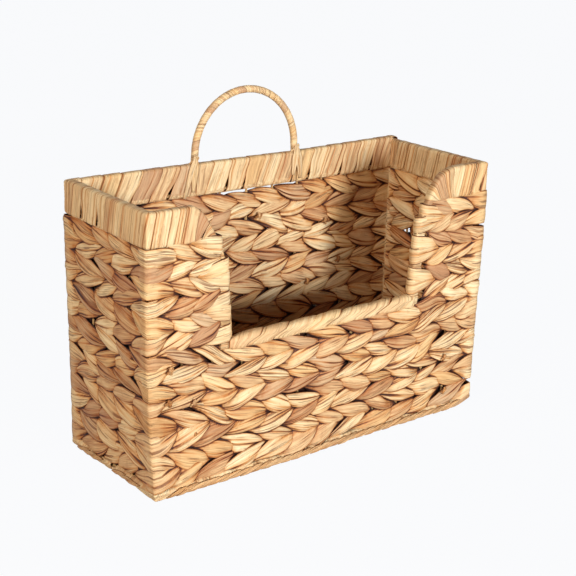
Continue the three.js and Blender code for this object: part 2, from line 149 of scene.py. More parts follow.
def opening_at(z, side):
    """Distance of the opening's edge from the middle at a height: it widens from the lip to the rim."""
    straight = np.clip((z - LIP_TOP) / (SHOULDER_FOOT - LIP_TOP), 0, 1)
    rounded = np.clip((z - SHOULDER_FOOT) / (RIM_TOP - SHOULDER_FOOT), 0, 1)
    shoulder = SHOULDER_DRAW * rounded**1.2 + SHOULDER_TIP[side] * rounded**14
    return OPENING_EDGE[side] + EDGE_LEAN * straight + shoulder


# The body widens a little between two heights.
FLARE_AT_FOOT, FLARE_MORE, FLARE_HEIGHTS = 0.2, 1.3, (60, 220)


def flare(z):
    """How far the wall stands out beyond its middle line."""
    return FLARE_AT_FOOT + FLARE_MORE * smooth(z, *FLARE_HEIGHTS)


# The foot of the front left corner bulges in and forward, and that of the right one ends higher.
CORNER_IN, CORNER_FORWARD, CORNER_RAISED = 3.2, 4.2, 5.0


def stand_forward(points):
    """Moves points near the foot of the front corners to where the photo has them."""
    x, y, z = (points[..., i] for i in range(3))
    low = 1 - smooth(z, -20, 110)
    front = low * smooth(-y, 30, 60) * (1 - smooth(x, -60, 80))
    left = low * smooth(-x, 150, 175) * (1 - smooth(y, -30, 60))
    points[..., 0] += CORNER_IN * left
    points[..., 1] -= CORNER_FORWARD * front
    right = smooth(x, 166, 186) * smooth(-y, 30, 60) * (1 - smooth(z, 0, 25))
    points[..., 2] += CORNER_RAISED * right


# Mesh building


def placed(name, data):
    new = bpy.data.objects.new(name, data)
    bpy.context.scene.collection.objects.link(new)
    return new


def paint(shape, leaf, hue, dark):
    """Tones of points: a leaf's lightness, its hue, and its darkness: edges that are partly painted shade,
    and painted shade in creases and shaded places.
    """
    tone = np.ones((*shape, 4))
    for i, value in enumerate((leaf, hue, np.clip(dark, 0, 1))):
        tone[..., i] = value
    return tone


class Builder:
    """Gathers swept bodies into one mesh with a length and width map and a tone for each point."""

    def __init__(self):
        self.points, self.faces, self.uv, self.tone = [], [], [], []
        self.count = 0

    def sweep(self, rings, along, tone):
        """A closed body through rings of points. along is the length at each ring."""
        n, k, _ = rings.shape
        around = np.arange(k)
        here = self.count + np.arange(n - 1)[:, None] * k + around
        here_on = np.roll(here, -1, axis=1)
        self.faces.append(np.stack([here, here_on, here_on + k, here + k], -1).reshape(-1, 4))
        u0, u1 = (np.broadcast_to(u[:, None], here.shape) for u in (along[:-1], along[1:]))
        v0 = np.broadcast_to(around / k, here.shape)
        v1 = v0 + 1 / k
        self.uv.append(np.stack([u0, v0, u0, v1, u1, v1, u1, v0], -1).reshape(-1, 2))
        self.points += [rings.reshape(-1, 3), rings[0].mean(0)[None], rings[-1].mean(0)[None]]
        self.tone += [tone.reshape(-1, 4), tone[0].mean(0)[None], tone[-1].mean(0)[None]]
        for cap, (end, order) in enumerate(((0, -1), (n - 1, 1))):
            ring = (self.count + end * k + around)[::order]
            middle = np.full(k, self.count + n * k + cap)
            self.faces.append(np.stack([ring, np.roll(ring, -1), middle], 1))
            self.uv.append(np.tile([along[end], 0.0], (3 * k, 1)))
        self.count += n * k + 2

    def mesh(self, name, material, slot, *nodes):
        points = np.concatenate(self.points) * MM
        sizes = np.concatenate([np.full(len(f), f.shape[1]) for f in self.faces])
        corners = np.concatenate([f.ravel() for f in self.faces])
        data = bpy.data.meshes.new(name)
        data.vertices.add(len(points))
        data.vertices.foreach_set("co", points.ravel())
        data.loops.add(len(corners))
        data.loops.foreach_set("vertex_index", corners)
        data.polygons.add(len(sizes))
        data.polygons.foreach_set("loop_start", np.cumsum(sizes) - sizes)
        data.update(calc_edges=True)
        data.uv_layers.new(name="length_and_width")
        data.uv_layers[0].data.foreach_set("uv", np.concatenate(self.uv).ravel())
        tone = data.attributes.new("tone", "FLOAT_COLOR", "POINT")
        tone.data.foreach_set("color", np.concatenate(self.tone).ravel())
        data.polygons.foreach_set("use_smooth", np.ones(len(sizes), bool))
        data.validate()
        data.materials.append(material)
        piece = placed(name, data)
        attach(piece, "root")
        if nodes:
            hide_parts(*nodes)
        return piece


# Twined courses

# A leaf is the part of a strand that passes before or behind one stake. Its face has more points than its
# back. ACROSS goes round both, from -1 at one edge to 1 at the other.
LEAF_RINGS = 31
FACE_ACROSS = np.sin(np.linspace(-1.3, 1.3, 27)) / sin(1.3)
BACK_ACROSS = np.linspace(0.75, -0.75, 5)
ACROSS = np.concatenate([FACE_ACROSS, BACK_ACROSS])
FACE = slice(0, len(FACE_ACROSS))
# Half stitches that a leaf reaches to each side and is off its stake, and the short ones at the opening.
LEAF_REACH, LEAF_SHIFT = (1.75, 2.05), 0.22
END_REACH, END_STEP = 1.25, 0.75
# Distance out at the stake, and how far a strand dives to the other side.
LEAF_DEPTH = 3.6
LEAF_DIVE = 2.0
LEAF_CROWN = 1.35
CROWN_SPREAD = (0.75, 1.2)
LEAF_BACK = 0.8
# How pointed the tips are and how wide a leaf is, in half courses. Inside (-1) the gaps are smaller.
TIP_POINT = {-1: 0.8, 1: 0.95}
LEAF_WIDTH = {-1: (1.05, 1.36), 1: (0.9, 1.36)}
# How far a leaf's widest place moves to the end that lies lower, and how it leans.
BELLY = (-0.1, 0.22)
LEAN = (0.72, 1.15)
# The end that lies on top of the other strand stands out, and the other end is pressed in.
END_LIFT = 0.6
TILT = tan(radians(13))
# The lower edge of a leaf lies over the course below.
SHINGLE_TILT = tan(radians(5))
# Round a corner of the wall the leaves lie level, flatter and with fewer creases.
CORNER_DEPTH, CORNER_NEAR, CORNER_FLAT, CORNER_PLAIN = 5.0, 0.4, 0.6, 0.7
CORNER_BENDS = (STEP_KNOTS[1:5, None] + np.linspace(-0.17, 0.17, 7)).ravel()
FOLDED_SHARE = 0.35
FOLD_HEIGHT = 0.5
# Darkness of a leaf's edges and tips, partly their own brown and partly painted shade where they meet other
# leaves, and the painted shade for a millimetre's depth of crease or of shade.
EDGE_DARK, TIP_DARK, CREASE_DARK, SHADE = 0.5, 0.2, 2.6, 2.6
# The lowest course rests on the border, and the top one leaves slits under the band of the back wall.
FOOT_DROP, TOP_SLIT, OUTER_SLIT = 2.5, 1.5, 3.2
LEVEL_WAVE = 0.8
# How far the photo's courses stand above or below even spacing at the front left corner, from the foot up.
CORNER_STEP = STEP_KNOTS[4]
CORNER_LEVELS = np.arange(0, COURSES + 1, 2)
CORNER_LIFT = [-2.0, 1.9, 7.0, 2.5, 0.0, 3.4, 3.6, 0.0]
CORNER_LIFT_STEPS = 7.0


def under_lip(place):
    """1 in the front wall under the opening's lip, 0 away from it."""
    across = 1 - smooth(np.abs(place[:, 0]), 104, 134)
    return across * (place[:, 1] < 0)


def level_z(level, steps, side):
    """Height of the line between two courses, counted from the foot, on one side of the wall."""
    place, _, _ = wall(steps)
    z = np.full(len(steps), WEAVE_FOOT + (WEAVE_TOP - WEAVE_FOOT) * level / COURSES)
    if level <= CLOSED_COURSES:
        packed = WEAVE_FOOT + (LIP_FOOT - WEAVE_FOOT) * level / CLOSED_COURSES
        z = z + (packed - z) * under_lip(place)
    half_round = ROUND_STEPS // 2
    away = np.mod(steps - CORNER_STEP + half_round, ROUND_STEPS) - half_round
    z = z + np.interp(level, CORNER_LEVELS, CORNER_LIFT) * np.exp(-((away / CORNER_LIFT_STEPS) ** 2))
    wave = np.sin(steps * 2 * pi * 5 / ROUND_STEPS + level * 2.1)
    wave += 0.7 * np.sin(steps * 2 * pi * 11 / ROUND_STEPS + level * 4.7)
    if level == 0:
        return z - FOOT_DROP
    if level == COURSES:
        slit = TOP_SLIT + OUTER_SLIT * (side > 0)
        at_back = smooth(place[:, 1], WALL_Y - 4, WALL_Y) * (1 - smooth(np.abs(place[:, 0]), 135, 160))
        return z - slit * at_back * smooth(wave, -0.9, 0.3)
    return z + LEVEL_WAVE * wave * (level != CLOSED_COURSES)


def leaf_depth(steps_away):
    """Distance of a leaf's middle from the wall's, from over the stake to where it passes inside."""
    return LEAF_DEPTH - LEAF_DIVE * (1 - np.cos(0.4 * pi * np.minimum(steps_away, 2.4)))


def two_faces(face, thick):
    """Distances out of a leaf's face and of its round back."""
    return np.concatenate([face, -thick * (1 - BACK_ACROSS**2) ** 0.5 * np.ones((len(face), 1))], 1)


def grooves(rng, along, count, width):
    crease = np.zeros((len(along), len(FACE_ACROSS)))
    for _ in range(count):
        line = rng.uniform(-0.85, 0.85)
        deep = max(0.0, rng.uniform(-0.3, 0.6))
        end = rng.choice((-1, 1))
        reach = 0.15 + 0.85 * smooth(along * end, -0.4, 0.9)
        crease += deep * reach[:, None] / (1 + ((FACE_ACROSS - line) / width) ** 2)
    return crease


def fold(rng):
    """A step across a leaf's face where one of its edges is folded over, on some leaves."""
    if rng.random() > FOLDED_SHARE:
        return np.zeros(len(FACE_ACROSS))
    line = rng.uniform(0.2, 0.75) * rng.choice((-1, 1))
    return FOLD_HEIGHT * smooth(FACE_ACROSS * np.sign(line), abs(line) - 0.05, abs(line) + 0.05)


# One leaf's rings with their tones, and its place on the wall: steps, distance out and side.
Leaf = namedtuple("Leaf", "rings tone steps skin side")


def leaf_places(centre, reach):
    """Places along a leaf, from -1 to 1, with more of them where it bends round a corner."""
    bends = (CORNER_BENDS - centre) / reach
    along = np.union1d(np.linspace(-1, 1, LEAF_RINGS), bends[np.abs(bends) < 0.97])
    return along[np.concatenate([[True], np.diff(along) > 0.004])]


def leaf_outline(rng, along, half, lean, side, on_top):
    """Half width along a leaf, and its middle line's height above the middle of its course."""
    belly = rng.uniform(*BELLY) * np.sign(on_top[1] - on_top[0] + 0.01)
    lens = (1 - np.clip(along - belly * (1 - along**2), -1, 1) ** 2) ** TIP_POINT[side]
    wide = half * rng.uniform(*LEAF_WIDTH[side]) * lens + 0.12
    bow = rng.uniform(-0.3, 0.3) * (1 - along**2) + rng.uniform(-0.15, 0.15)
    bow = bow + rng.uniform(-0.12, 0.12) * np.sin(pi * along)
    return wide, half * (lean * rng.uniform(*LEAN) * along + bow)


def leaf_stand(rng, along, reach, lean, on_top, at_corner):
    """Distance out along a leaf's middle, and how its face is tilted."""
    first, last = on_top
    ends = np.where(along < 0, first, last) * smooth(np.abs(along), 0.2, 0.8)
    spread = rng.uniform(-0.3, 0.3)
    depth = leaf_depth(reach * np.abs(along)) + END_LIFT * ends + spread
    share = smooth(along, -0.5, 0.5)
    tilted = 0.35 + 0.65 * smooth(np.abs(along), 0.0, 0.5)
    tilt = lean * TILT * (first * (1 - share) - last * share) * tilted - SHINGLE_TILT
    return depth + (CORNER_DEPTH - depth) * at_corner, tilt * (1 - at_corner)


def leaf_skin(rng, along, at_corner):
    """How far a leaf's face and back stand out from its middle, and the creases of its face."""
    crease = grooves(rng, along, 5, 0.045) * (1 - CORNER_PLAIN * at_corner[:, None])
    flat = 1 - CORNER_FLAT * at_corner[:, None]
    crown = flat * LEAF_CROWN * rng.uniform(*CROWN_SPREAD) * (1 - FACE_ACROSS**2) ** 0.7
    thick = smooth(1 - np.abs(along), -0.05, 0.3)[:, None]
    return two_faces(thick * (crown + fold(rng) - crease), thick * LEAF_BACK), crease


def leaf(rng, level, lean, side, centre, reach, on_top):
    """One leaf on one side of the wall: a pointed lens that leans across its course.

    on_top says for each end, first and last, how far it lies over its neighbour, from -1 to 1.
    """
    along = leaf_places(centre, reach)
    steps = centre + reach * along
    place, _, out = wall(steps)
    foot, top = level_z(level, steps, side), level_z(level + 1, steps, side)
    wide, rise = leaf_outline(rng, along, (top - foot) / 2, lean, side, on_top)
    middle = (foot + top) / 2 + rise
    corner_away = np.abs(steps[:, None] - STEP_KNOTS[1:5]).min(1)
    at_corner = np.exp(-((corner_away / CORNER_NEAR) ** 2))
    depth, tilt = leaf_stand(rng, along, reach, lean, on_top, at_corner)
    skin, crease = leaf_skin(rng, along, at_corner)
    skin = skin + depth[:, None] + tilt[:, None] * wide[:, None] * ACROSS
    stand = flare(middle)[:, None] + side * skin
    rings = lift(place, middle)[:, None] + lift(out, 0.0)[:, None] * stand[..., None]
    rings[..., 2] += wide[:, None] * ACROSS
    if side > 0:
        stand_forward(rings)
    # Painted shade: edges and tips darker, partly their own brown; creases darker by their depth; the hidden
    # back fully dark.
    at_tip = smooth(np.abs(along), 0.6, 1.0)[:, None]
    dark = EDGE_DARK * smooth(np.abs(ACROSS), 0.84, 1.0) + TIP_DARK * at_tip
    dark[:, FACE] += crease * CREASE_DARK
    dark[:, FACE.stop :] = 1.0
    tone = paint(skin.shape, rng.uniform(), rng.uniform(), dark)
    return Leaf(rings, tone, steps, skin, side)


class Relief:
    """How far the leaves stand out on both sides of the wall, on a grid, to paint shade on what lies lower.
    """

    CELL = 0.7
    # Lines drawn into the grid between two rings of a leaf.
    FINER = 4
    # Distances looked at round each point, in millimetres, with their weights.
    REACHES = ((0.8, 2.6), (1.7, 1.0), (3.2, 0.5))
    DIRECTIONS = 8

    def __init__(self):
        wide = int(LENGTH_KNOTS[-1] / self.CELL) + 1
        tall = int((WEAVE_TOP + 10) / self.CELL) + 1
        self.height = {side: np.zeros((wide, tall)) for side in (1, -1)}

    def cells(self, length, z):
        wide, tall = self.height[1].shape
        column = np.mod((length / self.CELL).astype(int), wide)
        return column, np.clip((z / self.CELL).astype(int), 0, tall - 1)

    def place(self, one):
        """Length round the wall, height and distance out of the points of a leaf's face."""
        length = np.interp(np.mod(one.steps, ROUND_STEPS), STEP_KNOTS, LENGTH_KNOTS)
        skin = one.skin[:, FACE]
        return np.broadcast_to(length[:, None], skin.shape), one.rings[:, FACE, 2], skin

    def add(self, one):
        length, z, skin = self.place(one)
        at = np.arange(0, len(z) - 1, 1 / self.FINER)
        before = at.astype(int)
        share = (at - before)[:, None]
        step = np.diff(length[:, 0])
        step = np.where(np.abs(step) > LENGTH_KNOTS[-1] / 2, 0, step)
        length = length[before] + share * step[before][:, None]
        z, skin = (v[before] * (1 - share) + v[before + 1] * share for v in (z, skin))
        np.maximum.at(self.height[one.side], self.cells(length, z), skin)

    def shade(self, one):
        """Painted shade, from 0 on an open face to about 1 deep between higher neighbours."""
        length, z, skin = self.place(one)
        total = np.zeros(z.shape)
        for reach, weight in self.REACHES:
            for angle in np.arange(self.DIRECTIONS) * 2 * pi / self.DIRECTIONS:
                near = self.cells(length + reach * cos(angle), z + reach * sin(angle))
                higher = self.height[one.side][near] - skin - 0.15
                total += weight * np.clip(higher / reach, 0, 1.2)
        return total / (sum(weight for _, weight in self.REACHES) * self.DIRECTIONS)


# Share of the leaves that lie on the one before them, and how much more there are on the photo's left wall.
ON_TOP_SHARE = 0.2
ON_TOP_MORE = 0.6


def later_on_top(rng, crossing):
    """1 where the leaf that follows a crossing lies on the one before it, -1 where it lies under it."""
    crossing = np.mod(crossing, ROUND_STEPS)
    on_left_wall = smooth(crossing, CORNER_STEP - 9, CORNER_STEP - 7) * (crossing < CORNER_STEP)
    return 1 if rng.random() < ON_TOP_SHARE + ON_TOP_MORE * on_left_wall else -1


def course(number):
    """A course of two strands that pass before and behind each stake and cross between them."""
    rng = np.random.default_rng(SEED * 100 + number)
    twist = -1 if number % 2 else 1
    level = COURSES - number
    closed = number > OPEN_COURSES
    edge = 2 * OPENING_STITCHES
    centres = np.arange(0, ROUND_STEPS, 2.0) if closed else np.arange(edge + 2.0, ROUND_STEPS - edge, 2.0)
    leaves = []
    for side in (1, -1):
        crossings = [later_on_top(rng, centre - 1) for centre in centres]
        crossings.append(crossings[0] if closed else 1)
        for i, centre in enumerate(centres):
            at = centre + rng.uniform(-LEAF_SHIFT, LEAF_SHIFT)
            on_top = (crossings[i], -crossings[i + 1])
            reach = rng.uniform(*LEAF_REACH)
            leaves.append(leaf(rng, level, twist * side, side, at, reach, on_top))
        if not closed:
            for at in (edge + END_STEP, ROUND_STEPS - edge - END_STEP):
                leaves.append(leaf(rng, level, twist * side, side, at, END_REACH, (0.3, 0.3)))
    return leaves


def make_weave(material):
    courses = {number: course(number) for number in range(1, COURSES + 1)}
    relief = Relief()
    for leaves in courses.values():
        for one in leaves:
            relief.add(one)
    for number, leaves in courses.items():
        builder = Builder()
        for one in leaves:
            # Painted shade from the relief darkens the face of each leaf where it lies lower than its
            # neighbours.
            dark = one.tone[:, FACE, 2]
            dark[...] = np.clip(dark + SHADE * relief.shade(one), 0, 1)
            order = slice(None, None, one.side)
            builder.sweep(one.rings[:, order], length_along(one.rings.mean(1)), one.tone[:, order])
        label = f"{number:02d}"
        builder.mesh(f"weave_{label}", material, "twined_stem", f"twined_course_{label}")


# Wound strips

# The band's rounded edges, and half its thickness with its windings.
BAND_CORNER = 2.2
BAND_HALF = BAND_THICKNESS / 2 + 0.6
# Shares of a turn and points of a face, a rounded edge and the flat between two edges.
FACE_TURN, EDGE_TURN, FLAT_TURN = 0.36, 0.05, 0.04
FACE_POINTS, EDGE_POINTS, FLAT_POINTS = 24, 10, 4


def band_profile():
    """Share of the turn, offset out, straight part of the height, corner's part of it, and the normal."""
    flat = BAND_HALF - BAND_CORNER
    rows = []

    def edge(start):
        across, up = (copysign(1, f(start + pi / 4)) for f in (cos, sin))
        for t in np.linspace(0, 1, EDGE_POINTS, endpoint=False):
            c, s = (f(start + t * pi / 2) for f in (cos, sin))
            rows.append((EDGE_TURN / EDGE_POINTS, flat * across + BAND_CORNER * c, up, BAND_CORNER * s, c, s))

    for sign, start in ((1, 0), (-1, pi)):
        for t in np.linspace(0, 1, FACE_POINTS, endpoint=False):
            rows.append((FACE_TURN / FACE_POINTS, sign * BAND_HALF, sign * (2 * t - 1), 0, sign, 0))
        edge(start)
        for t in np.linspace(0, 1, FLAT_POINTS, endpoint=False):
            offset = sign * flat * (1 - 2 * t)
            rows.append((FLAT_TURN / FLAT_POINTS, offset, sign, sign * BAND_CORNER, 0, sign))
        edge(start + pi / 2)
    table = np.array(rows)
    share = np.concatenate([[0], np.cumsum(table[:, 0])])
    share /= share[-1]
    return share, np.concatenate([table[:, 1:], table[:1, 1:]])


PROFILE_SHARE, PROFILE = band_profile()


class Band:
    """A flat band between two lines, given at stations with the turns wound between them."""

    def __init__(self, first, second, out, turns, way=1):
        self.way = way
        # One turn's values give way to the next one's at the foot of the band's inner face.
        self.late = 0.0 if way > 0 else 0.2
        self.at = np.cumsum(turns)
        self.turns = self.at[-1]
        self.lines = (first, second, out)

    def surface(self, turn, share):
        """Places and outward normals at turns along and shares of the way round."""
        turn, share = np.broadcast_arrays(turn, share)
        low, high, out = (between(turn, self.at, line) for line in self.lines)
        offset, straight, corner, normal_out, normal_up = (
            np.interp(np.mod(share, 1), PROFILE_SHARE, PROFILE[:, i]) for i in range(5)
        )
        tall = np.linalg.norm(high - low, axis=-1)
        up = (high - low) / tall[..., None]
        height = straight * (tall / 2 - BAND_CORNER) + corner
        place = (low + high) / 2 + up * height[..., None] + out * offset[..., None]
        return place, unit(unit(out) * normal_out[..., None] + up * normal_up[..., None])


class Rod:
    """A round rod along a line, wound from its outer side."""

    way = -1
    late = 0.0

    def __init__(self, line, out, side, radius, pitch):
        self.line, self.out, self.side, self.radius = line, out, side, radius
        self.at = length_along(line) / pitch
        self.turns = self.at[-1]

    def surface(self, turn, share):
        turn, share = np.broadcast_arrays(turn, share)
        middle, out = (between(turn, self.at, line) for line in (self.line, self.out))
        angle = share * 2 * pi
        normal = unit(out) * np.cos(angle)[..., None] + self.side * np.sin(angle)[..., None]
        return middle + normal * self.radius, normal


STRIP_ACROSS = np.linspace(-1, 1, 31)
STRIP_MIDDLE = 15
STRIP_LOWER = slice(3, -3, 6)
STRIP_OVERLAP = 0.06
# Turns that a strip goes on beyond the ends of its form.
WIND_ON = 0.45
# Shares of a turn where the band's faces end: outer face, top, inner face, foot.
FACE_ENDS = [0, 0.36, 0.5, 0.86, 1]
EVEN_DRIFT = (0.36, 0.14, 0.36, 0.14)
# Where in a turn the gaps lie, at the foot of both faces, and their widths in turns.
INNER_FOOT, INNER_END, OUTER_FOOT = (0.6, 0.84), 0.9, (0.05, 0.32)
INNER_GAP, OUTER_GAP = (0.16, 0.26), (0.2, 0.4)
# Width of a strip's creases, and the painted shade for a millimetre of crease and on a strip's back.
CREASE_WIDTH, STRIP_CREASE_DARK, STRIP_BACK_DARK = 0.035, 1.5, 0.8


def advance(at, way, drift):
    """Turns wound along a form, of which each face of the band takes its own share."""
    whole = np.floor(at)
    ends = np.concatenate([[0], np.cumsum(drift)])
    if way > 0:
        return whole + np.interp(at - whole, FACE_ENDS, ends)
    return whole + 1 - np.interp(1 - (at - whole), FACE_ENDS, ends)


def wind(
    builder, rng, form, rings_per_turn=40, sink=0.5, thick=0.7, lap=0.5, creases=6, crease_depth=0.35,
    crown=0.2, edge_dark=0.45, wobble=0.05, drift=EVEN_DRIFT, gaps=0.0, outer_gaps=0.0,
    tones=(0.25, 0.85),
):
    """A flat strip wound round a form. Each turn's later edge lies on the turn that follows.

    gaps and outer_gaps are the shares of turns with a gap at the foot of the inner and outer face.
    """
    turns = max(1, round(form.turns))
    at = np.linspace(-WIND_ON, turns + WIND_ON, int(turns + 1) * rings_per_turn)
    counted = at + 1 - form.late
    number = np.floor(counted).astype(int)
    blend = smooth(counted - number, 0.8, 1.0)

    def draw(low, high):
        values = rng.uniform(low, high, turns + 4)
        return values[number] * (1 - blend) + values[number + 1] * blend

    shift = draw(-wobble, wobble)
    middle = advance(at, form.way, drift)
    half = 0.5 + STRIP_OVERLAP
    share = np.mod(form.way * at, 1)
    gap = (draw(0, 1) < gaps) * draw(*INNER_GAP) * smooth(share, *INNER_FOOT) * (share < INNER_END)
    gap = gap + (draw(0, 1) < outer_gaps) * draw(*OUTER_GAP) * (1 - smooth(share, *OUTER_FOOT))
    low = np.clip(middle - half + shift, 0, turns)
    high = np.clip(middle + half + shift - gap, 0, turns)
    turn = low[:, None] + (high - low)[:, None] * (STRIP_ACROSS + 1) / 2
    place, normal = form.surface(turn * form.turns / turns, form.way * at[:, None])
    crease = np.zeros_like(turn)
    for _ in range(creases):
        line = draw(-0.95, 0.95)[:, None]
        deep = draw(-0.5, 1.0)[:, None].clip(0) * crease_depth
        crease += deep / (1 + ((STRIP_ACROSS - line) / CREASE_WIDTH) ** 2)
    bulge = crown * (1 - np.abs(STRIP_ACROSS) ** 3)
    overlap = lap * draw(0.6, 1.4)[:, None] * (STRIP_ACROSS * 0.5 + 0.3)
    height = -sink + thick * 0.5 + bulge + overlap - crease
    upper = place + normal * height[..., None]
    lower = place - normal * (sink + thick * 0.5)
    rings = np.concatenate([upper, lower[:, ::-1][:, STRIP_LOWER]], 1)
    # Painted shade: the strip's back is dark, and its edges and creases are darker.
    dark = np.full(rings.shape[:2], STRIP_BACK_DARK)
    edge = smooth(np.abs(STRIP_ACROSS), 0.9, 1.0) * edge_dark
    dark[:, : len(STRIP_ACROSS)] = np.clip(edge + crease * STRIP_CREASE_DARK, 0, 1)
    tone = paint(dark.shape, draw(*tones)[:, None], draw(0.1, 1)[:, None], dark)
    builder.sweep(rings, length_along(place[:, STRIP_MIDDLE]), tone)


# Turns wound round a corner, and the stations there.
CORNER_TURNS, CORNER_STATIONS = 0.6, 8


def plan_band(points, foot, top, pitch):
    """A level band that follows a run in plan, with a round bend at each point between its ends."""
    points = np.array(points, float)
    first, out, turns = [], [], []

    def add(place, way, more, mitre=1.0):
        """A station after more turns. The run stands further out where it turns a corner."""
        first.append(place)
        out.append(np.array([way[1], -way[0]]) * mitre)
        turns.append(more)

    here, way = points[0], unit(points[1] - points[0])
    add(here, way, 0)
    for corner, beyond in zip(points[1:-1], points[2:]):
        end = corner - way * BAND_BEND
        add(end, way, np.linalg.norm(end - here) / pitch)
        after = unit(beyond - corner)
        middle = corner + BAND_BEND * (after - way)
        for angle in np.linspace(0, pi / 2, CORNER_STATIONS + 1)[1:]:
            c, s = cos(angle), sin(angle)
            place, bent = middle + BAND_BEND * (s * way - c * after), c * way + s * after
            add(place, bent, CORNER_TURNS / CORNER_STATIONS, 1 / max(c, s))
        here, way = first[-1], after
    add(points[-1], way, np.linalg.norm(points[-1] - here) / pitch)
    first, out = np.array(first), np.array(out)
    return lift(first, foot), lift(first, top), lift(out, 0.0), turns


def flip(lines):
    """The same band on the other side of the basket, wound the other way."""
    return *(line * [-1, 1, 1] for line in lines[:3]), lines[3], -1


# The rim band lies round the outside of the weave, and so does the border.
RIM_OUT, BORDER_OUT = 1.6, 1.0
RIM_X, RIM_Y = WALL_X + RIM_OUT, WALL_Y + RIM_OUT
BORDER_FOOT = 0.3
SIDE_BAND_WIDE = 12.0
# The band's top rises to the corner where the back's windings end.
CORNER_RISE = 2.6
CORNER_RISE_REACH = 24.0
TAB_FAN_RISE = 1.5
TAB_STATIONS, SIDE_STATIONS = 25, 15
# The lip's ends, left and right.
LIP_BAND = (-106, 101)
HOOP_Y = WALL_Y + 1.5
# Half the thickness of the hoop's winding, without and with the strip.
HOOP_ROD, HOOP_HALF = 3.1, 3.75
HOOP_X = (HOOP_HIGH[0] - HOOP_LOW[0]) / 2 - HOOP_HALF
# Length of a turn, and the shares of it that the strip advances on the band's faces.
RIM_PITCH, RIM_DRIFT = 14.0, (0.4, 0.1, 0.4, 0.1)
BACK_PITCH, BACK_DRIFT = 19.0, (0.3, 0.08, 0.54, 0.08)
LIP_PITCH, LIP_DRIFT = 28.0, (0.42, 0.46, 0.06, 0.06)
SIDE_PITCH, SIDE_DRIFT = 14.5, (0.05, 0.1, 0.75, 0.1)
BORDER_PITCH, BORDER_DRIFT = 24.0, (0.8, 0.1, 0.05, 0.05)
HOOP_PITCH = 9.0
RIM_WINDING = dict(drift=RIM_DRIFT, outer_gaps=0.45, crease_depth=0.45, edge_dark=0.6)
BACK_WINDING = dict(drift=BACK_DRIFT, gaps=0.45)
SIDE_WINDING = dict(drift=SIDE_DRIFT, sink=1.6)
# The lip and the border are wound with few, plump turns.
LIP_WINDING = dict(
    drift=LIP_DRIFT, lap=1.0, wobble=0.1, creases=3, crease_depth=0.25, crown=1.4, edge_dark=0.9
)
BORDER_WINDING = dict(LIP_WINDING, drift=BORDER_DRIFT, crown=0.8, lap=0.2, edge_dark=0.3)
HOOP_WINDING = dict(
    rings_per_turn=24, sink=0.1, thick=0.4, lap=0.1, crease_depth=0.1, wobble=0.02, edge_dark=0.15,
    tones=(0.5, 0.62),
)


def rim_front_lines(side):
    """The rim band from the opening's shoulder along the side wall to the back corner."""
    z = np.linspace(RIM_FOOT + TAB_FAN_RISE, RIM_TOP, TAB_STATIONS)
    end_x = opening_at(RIM_TOP, side)
    first_x = np.linspace(opening_at(RIM_FOOT, side) + SIDE_BAND_WIDE, end_x, TAB_STATIONS)
    y = np.full(TAB_STATIONS, -RIM_Y)
    first = np.stack([first_x, y, np.full(TAB_STATIONS, RIM_FOOT)], 1)
    second = np.stack([opening_at(z, side), y, z], 1)
    out = np.tile([0.0, -1.0, 0.0], (TAB_STATIONS, 1))
    step = np.linalg.norm(np.diff(second, axis=0), axis=1) / RIM_PITCH
    corners = [(end_x, -RIM_Y), (RIM_X, -RIM_Y), (RIM_X, RIM_Y - 2)]
    level = plan_band(corners, RIM_FOOT, RIM_TOP, RIM_PITCH)
    lines = [np.concatenate([tab, more[1:]]) for tab, more in zip((first, second, out), level)]
    return *lines, [0, *step, *level[3][1:]]


def side_band_lines(side):
    """The band on the opening's upright edge, from the lip to the rim band."""
    z = np.linspace(LIP_FOOT + 1, RIM_FOOT + TAB_FAN_RISE, SIDE_STATIONS)
    second = np.stack([opening_at(z, side), -WALL_Y - flare(z), z], 1)
    first = second + [SIDE_BAND_WIDE, 0, 0]
    out = np.tile([0.0, -1.0, 0.0], (SIDE_STATIONS, 1))
    return first, second, out, [0] + [(z[1] - z[0]) / SIDE_PITCH] * (SIDE_STATIONS - 1)


# The ends of the open courses: each pair of strands turns back round the opening's edge as one wide strip.
WRAP_REACH, WRAP_DEPTH, WRAP_CROWN, WRAP_RINGS = 31.0, 4.5, 0.9, 45


